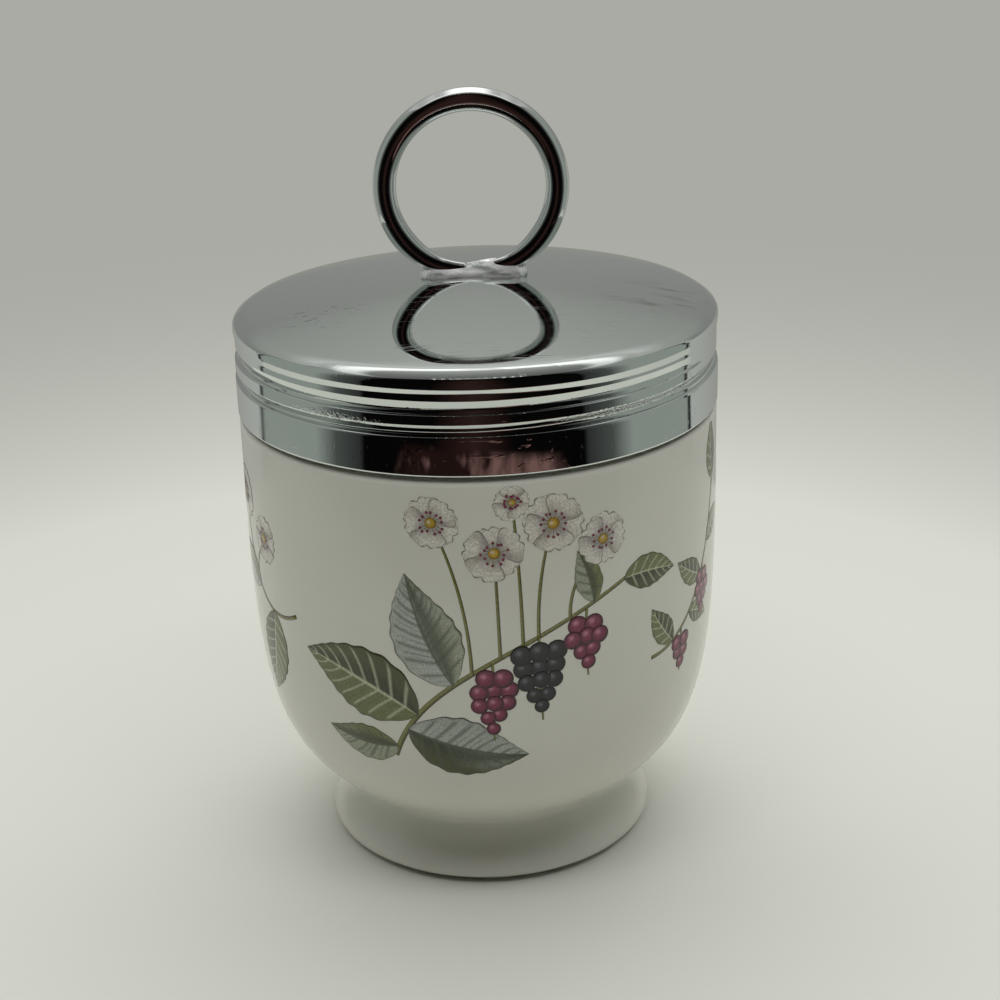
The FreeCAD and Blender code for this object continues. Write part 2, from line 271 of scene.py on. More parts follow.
def makeTable(s):
    # a flat square sheet, whose own colour gives way to the room's with the distance
    corners = s["tableReach"] * np.array([(-1, -1, 0), (1, -1, 0), (1, 1, 0), (-1, 1, 0)])
    sheet, tree, place = startMaterial("paperSheet")
    xyz = addNode(tree, "SeparateXYZ", (place,))
    across, ahead = xyz.outputs["X"], xyz.outputs["Y"]
    moved = addNode(tree, "VectorMath", (place, (s["fadeCentre"] * mm, 0, 0)), operation="SUBTRACT")
    reach = addNode(tree, "VectorMath", (moved,), operation="LENGTH")
    fadeEnd = s["fadeStart"] + s["fadeLength"]
    left = addNode(tree, "MapRange", (reach, s["fadeStart"] * mm, fadeEnd * mm, 1.0, 0.0))
    left = addNode(tree, "Math", (left, s["fadePower"]), operation="POWER")
    far = addNode(tree, "Math", (1.0, left), operation="SUBTRACT")
    matt = addNode(tree, "BsdfDiffuse", {"Color": toLinear(s["sheetColour"])})
    room = addNode(tree, "Emission", {"Color": toLinear(s["roomColour"]), "Strength": 1.0})
    plain = addNode(tree, "MixShader", (far, matt, room))
    # a warm, uneven patch in front, with spots of 18 mm, which the skirt mirrors
    blur = addNode(tree, "TexNoise", {"Vector": place, "Scale": s["warmScale"], "Detail": 2.0})
    side = addNode(tree, "MapRange", (across, *s["warmSides"]))
    uneven = addNode(tree, "Math", (blur, side), operation="ADD")
    uneven = addNode(tree, "MapRange", (uneven, *s["warmSpan"]))
    warm = addNode(tree, "Mix", (uneven, *(toLinear(c) for c in s["warmColours"])), data_type="RGBA")
    near = addNode(tree, "MapRange", (reach, *(v * mm for v in s["warmReach"])))
    width = addNode(tree, "Math", (across,), operation="ABSOLUTE")
    middle = addNode(tree, "MapRange", (width, s["warmHalf"] * mm, (s["warmHalf"] - s["warmBlend"]) * mm))
    front = addNode(tree, "Math", (ahead, 0.0), operation="LESS_THAN")
    patch = addNode(tree, "Math", (near, middle), operation="MULTIPLY")
    patch = addNode(tree, "Math", (patch, front), operation="MULTIPLY")
    seen = addNode(tree, "Mix", (patch, surroundings(tree, across, ahead, s), warm), data_type="RGBA")
    mirrored = addNode(tree, "Emission", {"Color": seen, "Strength": 1.0})
    wide = addNode(tree, "VectorMath", (place, (1 / s["mirrorWide"], 1, 1)), operation="MULTIPLY")
    away = addNode(tree, "VectorMath", (wide,), operation="LENGTH")
    sheetEnd = s["mirrorSheet"] + s["mirrorBlend"]
    beyond = addNode(tree, "MapRange", (away, s["mirrorSheet"] * mm, sheetEnd * mm))
    shiny = addNode(tree, "LightPath").outputs["Is Glossy Ray"]
    swap = addNode(tree, "Math", (beyond, shiny), operation="MULTIPLY")
    finishMaterial(tree, addNode(tree, "MixShader", (swap, plain, mirrored)))
    addObject("table", corners, [np.array([[0, 1, 2, 3]])], material=sheet)


def makeRoom(s):
    # what shines from each direction, by its parts across, ahead and upwards
    world = bpy.data.worlds.new("room")
    bpy.context.scene.world = world
    world.use_nodes = True
    tree = world.node_tree
    tree.nodes.clear()
    xyz = addNode(tree, "SeparateXYZ", (addNode(tree, "TexCoord").outputs["Generated"],))
    across, ahead, rise = xyz.outputs["X"], xyz.outputs["Y"], xyz.outputs["Z"]
    sideways = addNode(tree, "Math", (across,), operation="ABSOLUTE")
    # backdrop: it grows lighter upwards, and the strip of lamps lights the ceiling above it
    level = surroundings(tree, across, ahead, s)
    climb = addNode(tree, "ValToRGB", (rise,), stops=s["climbStops"])
    # overhead it fades towards the front, and the sides are a little duller
    forward = addNode(tree, "MapRange", (ahead, *s["forwardSpan"]))
    forward = addNode(tree, "ValToRGB", (forward,), stops=s["forwardStops"])
    glare = s["overheadGlare"]
    duller = addNode(tree, "MapRange", (sideways, *s["dullSpan"], glare, s["dullSides"] * glare))
    climb = addNode(tree, "VectorMath", (climb, forward), operation="MULTIPLY")
    climb = addNode(tree, "VectorMath", (climb, duller), operation="SCALE")
    behind, back, nearer = (addNode(tree, "MapRange", (ahead, *s[k]))
                            for k in ("behindSpan", "backSpan", "ceilingAhead"))
    below, high, ceiling = (addNode(tree, "MapRange", (rise, *s[k]))
                            for k in ("belowSpan", "highSpan", "ceilingRise"))
    backOnly = addNode(tree, "Math", (back, high), operation="MAXIMUM")
    useClimb = addNode(tree, "Math", (behind, backOnly), operation="MULTIPLY")
    useClimb = addNode(tree, "Math", (useClimb, below), operation="SUBTRACT", use_clamp=True)
    mirrored = addNode(tree, "Mix", (useClimb, level, climb), data_type="RGBA")
    # the ceiling in front of the point overhead is dark
    ceiling = addNode(tree, "Math", (ceiling, nearer), operation="MULTIPLY")
    mirrored = addNode(tree, "Mix", (ceiling, mirrored, toLinear(s["darkColour"])), data_type="RGBA")
    # strip of small lamps, 2.2 degrees apart
    wave = addNode(tree, "Math", (across, s["dotPitch"]), operation="PINGPONG")
    line = addNode(tree, "Math", (ahead, s["dotAhead"]), operation="ADD")
    near = addNode(tree, "VectorMath", (addNode(tree, "CombineXYZ", (wave, line)),), operation="LENGTH")
    dot = addNode(tree, "MapRange", (near, *s["dotEdge"]))
    row = addNode(tree, "Math", (sideways, s["dotReach"]), operation="LESS_THAN")
    over = addNode(tree, "Math", (rise, s["dotRise"]), operation="GREATER_THAN")
    row = addNode(tree, "Math", (row, over), operation="MULTIPLY")
    lit = addNode(tree, "Math", (dot, row), operation="MULTIPLY")
    mirrored = addNode(tree, "Mix", (lit, mirrored, (s["dotGlow"],) * 3 + (1.0,)), data_type="RGBA")
    # light that fills the room
    along = addNode(tree, "MapRange", (ahead, -1.0, 1.0))
    low = addNode(tree, "ValToRGB", (along,), stops=s["lowStops"])
    sky = addNode(tree, "ValToRGB", (along,), stops=s["skyStops"])
    sky = addNode(tree, "VectorMath", (sky, s["skyStrength"]), operation="SCALE")
    raised = addNode(tree, "MapRange", (rise, *s["skyRise"]))
    fill = addNode(tree, "Mix", (raised, low, sky), data_type="RGBA")
    path = addNode(tree, "LightPath")
    shown = addNode(tree, "Mix", (path.outputs["Is Glossy Ray"], fill, mirrored), data_type="RGBA")
    shown = addNode(tree, "Mix", (path.outputs["Is Camera Ray"], shown, toLinear(s["roomColour"])),
                    data_type="RGBA")
    glow = addNode(tree, "Background", {"Color": shown, "Strength": 1.0})
    addNode(tree, "OutputWorld", {"Surface": glow})


def makeLamps(s):
    # two long soft lamps overhead, one in front of the cup and one behind it, both facing down
    for ahead, watts in zip(s["lampPlaces"], s["lampWatts"]):
        lamp = bpy.data.lights.new("softLamp", "AREA")
        lamp.shape = "RECTANGLE"
        lamp.size, lamp.size_y = (v * mm for v in s["lampSize"])
        lamp.energy = watts
        thing = bpy.data.objects.new("softLamp", lamp)
        thing.location = (s["lampAcross"] * mm, ahead * mm, s["lampHeight"] * mm)
        thing.visible_glossy = False
        bpy.context.scene.collection.objects.link(thing)


makeTable(stage)
makeRoom(stage)
makeLamps(stage)
bpy.context.scene.view_settings.view_transform = "Standard"
print("stage lit")


# Glazed porcelain cup

cup = dict(
    footRadius=24.1, footEdge=1.4, footInset=2.2, footRing=1.9, footGap=0.92, footLip=0.35, footRounding=0.3,
    ringBlend=0.4, footEdgeBlend=(0.35, 0.02), lipRise=0.14, recess=3.2, recessTurn=0.9, recessStart=0.56,
    underPole=0.6, floorPole=0.5, footFullness=0.24,
    waistRadius=20.4, waistHeight=8.9, waistFullness=0.42,
    bowlRise=1.81, bowlStep=3.39, bowlAngle=39.2, bowlStartFullness=0.240, bowlEndFullness=0.6855,
    straight=16.1, ledge=65.2, ledgeInset=0.1, ledgeRounding=0.9, ledgeWidth=1.4, neckFillet=0.3,
    neckWall=2.9, neckRow=0.17, rimRounding=1.0, rimChamfer=0.5, floor=6.6, curveDrop=6.1,
    floorFullness=0.65, wallFullness=0.83, columns=288)
thread = dict(lead=3.175, ridgeHeight=0.8, ridgeRoot=1.6, ridgeCrest=0.5, aboveLedge=4.8, belowRim=1.6,
              frontHeight=72.96, fade=45.0)

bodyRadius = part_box("cup")[1].x / mm
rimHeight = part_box("cup")[1].z / mm


def bowlOutline(c):
    # from the waist up to the widest line: a short hollow curve and the long curve of the bowl, which
    # meet on one slope
    slope = math.radians(c["bowlAngle"])
    way = np.array([math.cos(slope), math.sin(slope)])
    start = np.array([c["waistRadius"] + c["bowlStep"], c["waistHeight"] + c["bowlRise"]])
    widest = np.array([bodyRadius, c["ledge"] - c["straight"]])
    rise = widest[1] - start[1]
    waist = np.array([c["waistRadius"], c["waistHeight"]])
    under = bez([waist, waist + (0, c["bowlRise"] / 2), start - way, start], 12)
    bowl = bez([start, start + way * c["bowlStartFullness"] * rise,
                widest - (0, c["bowlEndFullness"] * rise), widest], 64)
    return joined(under, bowl)


def ridgeProfile(away, root, crest):
    # 1 on the crest, 0 beyond the root, eased between: away is the distance from the middle
    return 1 - smooth(away, crest / 2, root / 2)


def neckRidge(turn, height, t):
    # how far the moulded thread stands out at each turn angle and height
    out = np.zeros(np.broadcast(turn, height).shape)
    first = 360 * (cup["ledge"] + t["aboveLedge"] - t["frontHeight"]) / t["lead"]
    last = 360 * (rimHeight - t["belowRim"] - t["frontHeight"]) / t["lead"]
    for lap in (-1, 0):
        angle = turn + 360 * lap
        middle = t["frontHeight"] + t["lead"] * angle / 360
        fade = smooth(np.minimum(angle - first, last - angle), 0, t["fade"])
        out = np.maximum(out, fade * ridgeProfile(abs(height - middle), t["ridgeRoot"], t["ridgeCrest"]))
    return t["ridgeHeight"] * out


def makeCup(c, material):
    # one closed outline turned round the axis: from under the foot, up the outside, over the rim and
    # down the inside. Only the neck isn't round, because of its thread.
    ledge, ledgeRadius = c["ledge"], bodyRadius - c["ledgeInset"]
    neck = ledgeRadius - c["ledgeWidth"]
    bore = neck - c["neckWall"]
    foot, footEdge, gap = c["footRadius"], c["footEdge"], c["footGap"]
    flare = c["waistHeight"] - footEdge
    ringOuter = foot - c["footInset"]
    ringInner = ringOuter - c["footRing"]
    ringStart = ringInner + c["ringBlend"]
    edgeOut, edgeUp = c["footEdgeBlend"]
    recess, turned, small = c["recess"], c["recessTurn"], c["footRounding"]
    hollow = ringInner - recess
    level = hollow - c["recessStart"]
    lip = foot - c["footLip"]
    waist, waistHeight = c["waistRadius"], c["waistHeight"]
    roundEdge, fillet = c["ledgeRounding"], c["neckFillet"]
    bowl = bowlOutline(c)
    cavityFloor = recess + c["floor"]
    curveTop = bowl[-1][1] - c["curveDrop"]
    curve = curveTop - cavityFloor
    rimRound, chamfer = c["rimRounding"], c["rimChamfer"]
    chamferEnd = bore + chamfer
    outside = joined(
        run((c["underPole"], recess), (level, recess), 12),
        bez([(level, recess), (hollow + small, recess), (hollow + turned, recess - turned)], 6),
        run((hollow + turned, recess - turned), (ringInner - small, small), 8),
        bez([(ringInner - small, small), (ringInner, 0), (ringStart, 0)], 5),
        run((ringStart, 0), (ringOuter, 0), 8),
        bez([(ringOuter, 0), (ringOuter + edgeOut, edgeUp), (lip, gap)], 9),
        bez([(lip, gap), (foot, gap + c["lipRise"]), (foot, footEdge)], 7),
        bez([(foot, footEdge), (foot, footEdge + c["footFullness"] * flare),
             (waist, waistHeight - c["waistFullness"] * flare), (waist, waistHeight)], 26),
        bowl,
        run(bowl[-1], (ledgeRadius, ledge - roundEdge), 12),
        arcPoints((ledgeRadius - roundEdge, ledge - roundEdge), roundEdge, 0, 90, 8),
        run((ledgeRadius - roundEdge, ledge), (neck + fillet, ledge), 3),
        bez([(neck + fillet, ledge), (neck, ledge), (neck, ledge + fillet)], 4))
    steps = int((rimHeight - rimRound - ledge - fillet) / c["neckRow"])
    neckRun = np.linspace((neck, ledge + fillet), (neck, rimHeight - rimRound), steps)
    inside = joined(
        arcPoints((neck - rimRound, rimHeight - rimRound), rimRound, 0, 90, 9),
        run((neck - rimRound, rimHeight), (chamferEnd, rimHeight), 4),
        bez([(chamferEnd, rimHeight), (bore, rimHeight), (bore, rimHeight - chamfer)], 5),
        run((bore, rimHeight - chamfer), (bore, curveTop), 10),
        bez([(bore, curveTop), (bore, curveTop - c["wallFullness"] * curve),
             (c["floorFullness"] * bore, cavityFloor), (c["floorPole"], cavityFloor)], 34))
    outline = joined(outside, neckRun, inside)
    turn = np.arange(c["columns"]) * 360 / c["columns"]
    radius, height = outline[:, :1], outline[:, 1:]
    onNeck = (abs(radius - neck) < 1e-6) & (height > ledge)
    radius = radius + onNeck * neckRidge(turn[None, :], height, thread)
    piece = revolve("glazed_cup", around(radius, height, turn[None, :]), startPole=recess,
                    endPole=cavityFloor, body="cup", material=material)
    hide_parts("cup")
    return piece


def glazeShader(tree, colour, **more):
    # clear feldspar glaze over the body and the print: a smooth coat that mirrors softly
    return addNode(tree, "BsdfPrincipled", {
        "Base Color": colour, "Roughness": 0.15, "IOR": 1.5, "Specular IOR Level": 0.5, **more})


def glazedPorcelain():
    # glazed bone china: warm white, very slightly uneven, a rare pinhole, bare and matt where it stands
    material, tree, place = startMaterial("glazedPorcelain")
    # cloudy patches about 17 mm across
    cloud = addNode(tree, "TexNoise", {"Vector": place, "Scale": 60.0, "Detail": 3.0})
    tone = addNode(tree, "Mix", (cloud, toLinear("#DDDDD2"), toLinear("#E5E5DB")), data_type="RGBA")
    # pinholes: a cell 9 mm across holds one speck of 0.12 mm
    cell = addNode(tree, "TexVoronoi", {"Vector": place, "Scale": 1000 / 9.0})
    speck = addNode(tree, "MapRange", (cell.outputs["Distance"], 0.020, 0.010))
    chosen = addNode(tree, "SeparateColor", (cell.outputs["Color"],))
    rare = addNode(tree, "Math", (chosen, 0.86), operation="GREATER_THAN")
    spot = addNode(tree, "Math", (speck, rare), operation="MULTIPLY")
    body = addNode(tree, "Mix", (spot, tone, toLinear("#6E6A5E")), data_type="RGBA")
    # glaze ripple about 4.5 mm long
    ripple = addNode(tree, "TexNoise", {"Vector": place, "Scale": 220.0, "Detail": 1.0})
    bump = addNode(tree, "Bump", {"Height": ripple, "Strength": 0.12, "Distance": 0.00006})
    glaze = glazeShader(tree, body, Normal=bump)
    bare = toLinear("#D9D6C8")
    biscuit = addNode(tree, "BsdfPrincipled", {"Base Color": bare, "Roughness": 0.7, "IOR": 1.5})
    low = addNode(tree, "SeparateXYZ", (place,)).outputs["Z"]
    standing = addNode(tree, "MapRange", (low, 0.00025, 0.0001))
    finishMaterial(tree, addNode(tree, "MixShader", (standing, glaze, biscuit)))
    return material


porcelain = glazedPorcelain()
makeCup(cup, porcelain)
print("cup thrown and glazed")

# Printed sprays: strings of currants, five-petalled blossoms and smooth leaves, fired into the glaze

sprays = dict(lift=0.010, layerStep=0.005, sink=0.004, wrapRadius=33.0, zeroHeight=40.0, veinRows=6,
              stamens=13, beadRadii=(0.004, 0.03, 0.25, 0.5, 0.72, 0.9, 1.0),
              leafColumns=(-1, -0.93, -0.8, -0.64, -0.48, -0.32, -0.17, -0.07, -0.02,
                           0.02, 0.07, 0.17, 0.32, 0.48, 0.64, 0.8, 0.93, 1))
inks = dict(outline="#4C463C", blackLeaf="#2F3420", deepLeaf="#4F5632", leaf="#747B4C", paleLeaf="#A3A994",
            greyLeaf="#B4B9B2", vein="#C3C7A8", darkVein="#545A48", stem="#87864E", stemShade="#4A4428",
            petal="#DEDBD0", petalShade="#A7A19A", centre="#C0A142", centreShade="#83652A", anther="#8C3552",
            currant="#802A4A", currantShade="#36101F", currantLight="#CF8DA3", ripe="#26242A",
            ripeShade="#0D0B0E", ripeLight="#77777F")
inks = {name: np.array(toLinear(colour)[:3]) for name, colour in inks.items()}

wallTop = (bodyRadius - cup["ledgeInset"], cup["ledge"] - cup["ledgeRounding"])
wallLine = np.concatenate([bowlOutline(cup), [wallTop]])
wallWay = np.concatenate([[0], np.cumsum(np.hypot(*np.diff(wallLine, axis=0).T))])
wallWay = wallWay - np.interp(sprays["zeroHeight"], wallLine[:, 1], wallWay)
wallLean = np.arctan2(np.gradient(wallLine[:, 0]), np.gradient(wallLine[:, 1]))
patches = {"leaves": [], "fruit": [], "blossoms": [], "stems": []}


def onBowl(x, y, turn, lift):
    # wraps a flat design round the bowl: x and y in millimetres, turn where it is centred
    radius, height, lean = (np.interp(y, wallWay, v) for v in (wallLine[:, 0], wallLine[:, 1], wallLean))
    return around(radius + lift * np.cos(lean), height - lift * np.sin(lean),
                  turn + np.degrees(x / sprays["wrapRadius"]))


def mixInk(a, b, t):
    # linear colours from a, where t is 0, to b, where t is 1
    t = np.clip(np.asarray(t, float), 0, 1)[..., None]
    return a + (b - a) * t


def addPatch(kind, place, x, y, colour, layer, wrap=False):
    # one printed shape: a grid of points in millimetres, turned and moved into its spray
    turn, across, up, tilt = place
    a = math.radians(tilt)
    flatX = across + x * math.cos(a) - y * math.sin(a)
    flatY = up + x * math.sin(a) + y * math.cos(a)
    top, low = (onBowl(flatX, flatY, turn, lift).reshape(-1, 3)
                for lift in (sprays["lift"] + sprays["layerStep"] * layer, sprays["sink"]))
    colours = np.broadcast_to(colour, (*x.shape, 3)).reshape(-1, 3)
    patches[kind].append((top, low, gridFaces(*x.shape, False, wrap), colours))


def finishPatches(kind, name, material):
    # each shape becomes a thin closed shell, and all of one kind become one piece
    points, upper, hidden, colours, first = [], [], [], [], 0
    for top, low, faces, colour in patches[kind]:
        shown, under = shellFaces(faces, len(top), first)
        points += [top, low]
        colours += [colour, colour]
        upper.append(shown)
        hidden.append(under)
        first += 2 * len(top)
    upper = np.concatenate(upper)
    piece = addObject(name, np.concatenate(points), [upper, np.concatenate(hidden)], "cup", material)
    piece.data.polygons.foreach_set("use_smooth", np.arange(len(piece.data.polygons)) < len(upper))
    ink = piece.data.attributes.new("ink", "FLOAT_COLOR", "POINT")
    ink.data.foreach_set("color", np.c_[np.concatenate(colours), np.ones(first)].astype(np.float32).ravel())
    return piece


def leaf(place, length, width, bend, light, dark, vein, layer, veins=9, seed=1):
    # an oval leaf: the grid's rows run along its side veins, so each vein is one row
    rng = np.random.default_rng(seed)
    per = sprays["veinRows"]
    q = np.linspace(0, 1, veins * per + 1)[:, None]
    t = np.array(sprays["leafColumns"])[None, :]
    s = q + 0.2 * abs(t) * 4 * q * (1 - q)
    fine = np.linspace(0, 1, 80)
    turned = np.radians(bend) * (fine - 0.3)
    midX, midY = (length * np.concatenate([[0], np.cumsum((f[1:] + f[:-1]) / 2)]) / 79
                  for f in (np.sin(turned), np.cos(turned)))
    half = width / 2 * np.maximum(np.sin(math.pi * s ** 0.8), 0) ** 0.9 * (1 - 0.25 * s ** 6) + 0.04
    wave = 1 + 0.03 * np.sin(q * veins * 2 * math.pi) * (abs(t) > 0.7)
    angle = np.interp(s, fine, turned)
    x = np.interp(s, fine, midX) + t * half * wave * np.cos(angle)
    y = np.interp(s, fine, midY) - t * half * wave * np.sin(angle)
    row = np.arange(len(q))[:, None]
    darker = smooth(t, -0.05, 0.05) * (0.75 + 0.25 * np.sin(q * 7))
    darker = darker + 0.25 * smooth(abs(t), 0.5, 1) + 0.25 * smooth(q, 0.7, 1.0)
    colour = mixInk(light, dark, darker)
    fold = smooth(t, 0, 0.1) * (1 - smooth(t, 0.25, 0.75)) + smooth(t, 0.5, 1) * smooth(q, 0.45, 0.8)
    colour = mixInk(colour, inks["blackLeaf"], 0.75 * fold)
    # fine strokes between the veins, darkest beside the midrib
    stroke = rng.uniform(0, 1, q.shape) * (1 - smooth(abs(t), 0.1 + 0.7 * rng.uniform(0, 1, q.shape), 1.0))
    colour = mixInk(colour, inks["darkVein"], 0.55 * stroke * (row % 2))
    colour = mixInk(colour, vein, 0.75 * (row % per == 0) * (abs(t) < 0.93))
    colour = mixInk(colour, vein, 0.9 * (abs(t) < 0.03))
    edge = (abs(t) > 0.98) | (q > 0.995) | (q < 0.005)
    addPatch("leaves", place, x, y, mixInk(colour, inks["outline"] * 0.6, edge), layer)


def bead(kind, place, x, y, size, body, shade, light, layer, sides=18):
    # a round berry, dot or flower centre: rings about a middle, darker outwards and to the lower right,
    # with a glint at the upper left
    radius = np.array(sprays["beadRadii"])[:, None]
    angle = np.arange(sides)[None, :] * 2 * math.pi / sides
    across, up = radius * np.cos(angle), radius * np.sin(angle)
    colour = mixInk(body, shade, smooth(radius, 0.45, 1.0) * 0.8 + 0.35 * smooth(across - up, 0.2, 1.3))
    glint = np.exp(-((across + 0.22) ** 2 + (up - 0.3) ** 2) / 0.07)
    colour = mixInk(colour, light, 0.9 * glint)
    addPatch(kind, place, x + size * across, y + size * up, colour, layer, wrap=True)


def stem(place, points, width, layer, kind="stems", rows=26):
    # a stalk: a band across a curve, narrower towards its end, shaded along one side and outlined
    line = bez(points, rows)
    way = np.gradient(line, axis=0)
    way /= np.hypot(*way.T)[:, None]
    t = np.array([-1, -0.7, -0.1, 0.4, 0.75, 1])[None, :]
    half = (width / 2 * np.linspace(1, 0.65, len(line)))[:, None]
    x = line[:, :1] + t * half * way[:, 1:]
    y = line[:, 1:] - t * half * way[:, :1]
    shade = np.maximum(smooth(t, -0.3, 0.8), 1.0 * (t < -0.9))
    addPatch(kind, place, x, y, mixInk(inks["stem"], inks["stemShade"], shade) + 0 * x[..., None], layer)


def blossom(place, size, layer, seed=1):
    # five rounded petals, each a leaf-like grid with a notch at its end, then stamens round a centre
    rng = np.random.default_rng(seed)
    q = np.linspace(0.08, 1, 15)[:, None]
    t = np.array(sprays["leafColumns"])[None, :]
    for k in range(5):
        turn, across, up, tilt = place
        reach = size * rng.uniform(0.92, 1.08)
        half = 0.66 * reach * np.maximum(np.sin(math.pi * q ** 1.35 * 0.86), 0.02) ** 0.8
        along = reach * (q - 0.13 * np.exp(-(t / 0.28) ** 2) * q ** 4 - 0.16 * abs(t) ** 2.5 * q ** 2)
        darker = 0.9 * (1 - smooth(q, 0.1, 0.65)) + 0.55 * smooth(t, 0.2, 1)
        darker = darker + 0.5 * rng.uniform(0, 1, t.shape) * (1 - smooth(q, 0.3, 0.9))
        colour = mixInk(inks["petal"], inks["petalShade"], darker)
        edge = (abs(t) > 0.98) | (q > 0.985)
        addPatch("blossoms", (turn, across, up, tilt + 72 * k + rng.uniform(-4, 4)), t * half, along + 0 * t,
                 mixInk(colour, inks["outline"], edge), layer + k % 3)
    stamens = sprays["stamens"]
    for k in range(stamens):
        a = math.radians(360 * k / stamens + rng.uniform(-8, 8))
        r = size * rng.uniform(0.30, 0.46)
        stem(place, [(0, 0), (r * math.sin(a) / 2, r * math.cos(a) / 2), (r * math.sin(a), r * math.cos(a))],
             0.09, layer + 3, "blossoms", rows=5)
        bead("blossoms", place, r * math.sin(a), r * math.cos(a), 0.2, inks["anther"], inks["currantShade"],
             inks["currantLight"], layer + 5, sides=8)
    bead("blossoms", place, 0, 0, size * 0.2, inks["centre"], inks["centreShade"], inks["petal"], layer + 4)


def currants(place, rows, size, names, layer, bend=0.0, seed=1):
    # a hanging string of berries in rows that grow shorter and smaller downwards
    rng = np.random.default_rng(seed)
    body, shade, light = (inks[n] for n in names)
    pitch = size * 1.35
    stem(place, [(0, size * 1.6), (0, -size), (bend, -pitch * len(rows))], 0.4, layer)
    for level in reversed(range(len(rows))):
        shrink = 1 - 0.08 * level
        for k in range(rows[level]):
            side = (k - (rows[level] - 1) / 2) * size * 1.5 * shrink + bend * level / len(rows)
            over = 1 + (k + level) % 2 + 2 * ((len(rows) - level) % 2)
            bead("fruit", place, side + rng.uniform(-0.12, 0.12), -pitch * level + rng.uniform(-0.2, 0.2),
                 size * shrink, body, shade, light, layer + over)


red, black = ("currant", "currantShade", "currantLight"), ("ripe", "ripeShade", "ripeLight")
mainDesign = dict(
    course=((-10.5, -15.5), (-8, -9), (-4, -2), (6, 1), (13, 5), (23, 9.5)), width=0.85,
    # leaves: place along the stem, tilt, length, width, bend, three inks, side veins
    leaves=((9, 64, 18.5, 10.4, -26, "leaf", "deepLeaf", "vein", 9),
            (16, 24, 17, 9.2, 22, "greyLeaf", "paleLeaf", "darkVein", 9),
            (6, -108, 17, 9.4, -20, "greyLeaf", "deepLeaf", "darkVein", 9),
            (2, 92, 11.5, 5.8, 30, "paleLeaf", "leaf", "darkVein", 7),
            (39, -92, 9.5, 4.8, 24, "leaf", "deepLeaf", "vein", 7),
            (35, 12, 8, 3.8, -20, "paleLeaf", "leaf", "darkVein", 6)),
    # blossoms: place along the stem, across, up, tilt, size
    blossoms=((19, -3.6, 19.6, 25, 3.7), (23, 4.2, 15.4, 10, 3.9), (28, 11.8, 18.8, 40, 4.1),
              (32, 18.6, 15.4, -20, 3.6), (26, 6.6, 22.2, 70, 2.5)),
    # strings: place along the stem, berries in each row, their size and inks, bend
    strings=((22, (2, 3, 3, 2, 1), 1.42, red, -0.6), (28, (3, 3, 3, 2, 1), 1.5, black, 0.5),
             (34, (2, 3, 2, 1), 1.4, red, 0.8)))
# leaves of the sprig: place along the stem, tilt, length
sprigDesign = dict(
    course=((-14, -4.5), (-6, -4.5), (0, 4), (3, 16)), width=0.6, slimness=0.48, bend=18,
    leaves=((4, 40, 8), (8, -110, 7), (12, 62, 8), (15, -62, 7.5), (20, 8, 9)),
    strings=((6, (2, 2, 1)), (13, (2, 3, 2, 1))), berry=1.2)
sideDesign = dict(
    course=((13, 2), (6, -2), (0, 3), (-2, 14)), width=0.6, stalkStart=12, stalk=((2, 8), (5.5, 10.5)),
    leaves=((6, 166, 15, 7.4, 20, "leaf", "deepLeaf", "vein"),
            (11, 70, 11, 5.6, -20, "greyLeaf", "leaf", "darkVein")),
    # blossoms: across, up, tilt, size
    blossoms=((-2, 15.5, 15, 3.8), (5.5, 11, 50, 3.4)))


def mainSpray(turn, d):
    # a slanting stem with hanging strings under it and tall blossoms over it
    flat = (turn, 0, 0, 0)
    axis = bez(d["course"], 41)
    stem(flat, d["course"], d["width"], 2)
    for number, (k, tilt, length, width, bend, *names, veins) in enumerate(d["leaves"]):
        leaf((turn, *axis[k], tilt), length, width, bend, *(inks[n] for n in names), 3 + number % 2, veins,
             seed=number + 2)
    for number, (k, across, up, tilt, size) in enumerate(d["blossoms"]):
        x, y = axis[k]
        stem(flat, [(x, y), (x - 0.2, y + 0.55 * (up - y)), (across, up)], 0.5, 2)
        blossom((turn, across, up, tilt), size, 4, seed=number + 7)
    for number, (k, rows, size, names, bend) in enumerate(d["strings"]):
        x, y = axis[k]
        currants((turn, x, y - 2.4, 3 - 3 * number), rows, size, names, 4, bend, seed=number + 11)


def sprig(turn, d):
    # a shoot with small leaves and two unripe strings
    axis = bez(d["course"], 21)
    stem((turn, 0, 0, 0), d["course"], d["width"], 2)
    for number, (k, tilt, length) in enumerate(d["leaves"]):
        leaf((turn, *axis[k], tilt), length, length * d["slimness"], d["bend"], inks["leaf"],
             inks["deepLeaf"], inks["vein"], 3, veins=6, seed=20 + number)
    for number, (k, rows) in enumerate(d["strings"]):
        x, y = axis[k]
        currants((turn, x, y - 2.0, 0), rows, d["berry"], red, 4, 0.3, seed=31 + number)


def sideSpray(turn, d):
    # two leaves and two blossoms on a curved stem
    axis = bez(d["course"], 21)
    stem((turn, 0, 0, 0), d["course"], d["width"], 2)
    for number, (k, tilt, length, width, bend, *names) in enumerate(d["leaves"]):
        leaf((turn, *axis[k], tilt), length, width, bend, *(inks[n] for n in names), 3, seed=number + 41)
    stem((turn, 0, 0, 0), [axis[d["stalkStart"]], *d["stalk"]], 0.4, 2)
    for number, (across, up, tilt, size) in enumerate(d["blossoms"]):
        blossom((turn, across, up, tilt), size, 4, seed=number + 43)


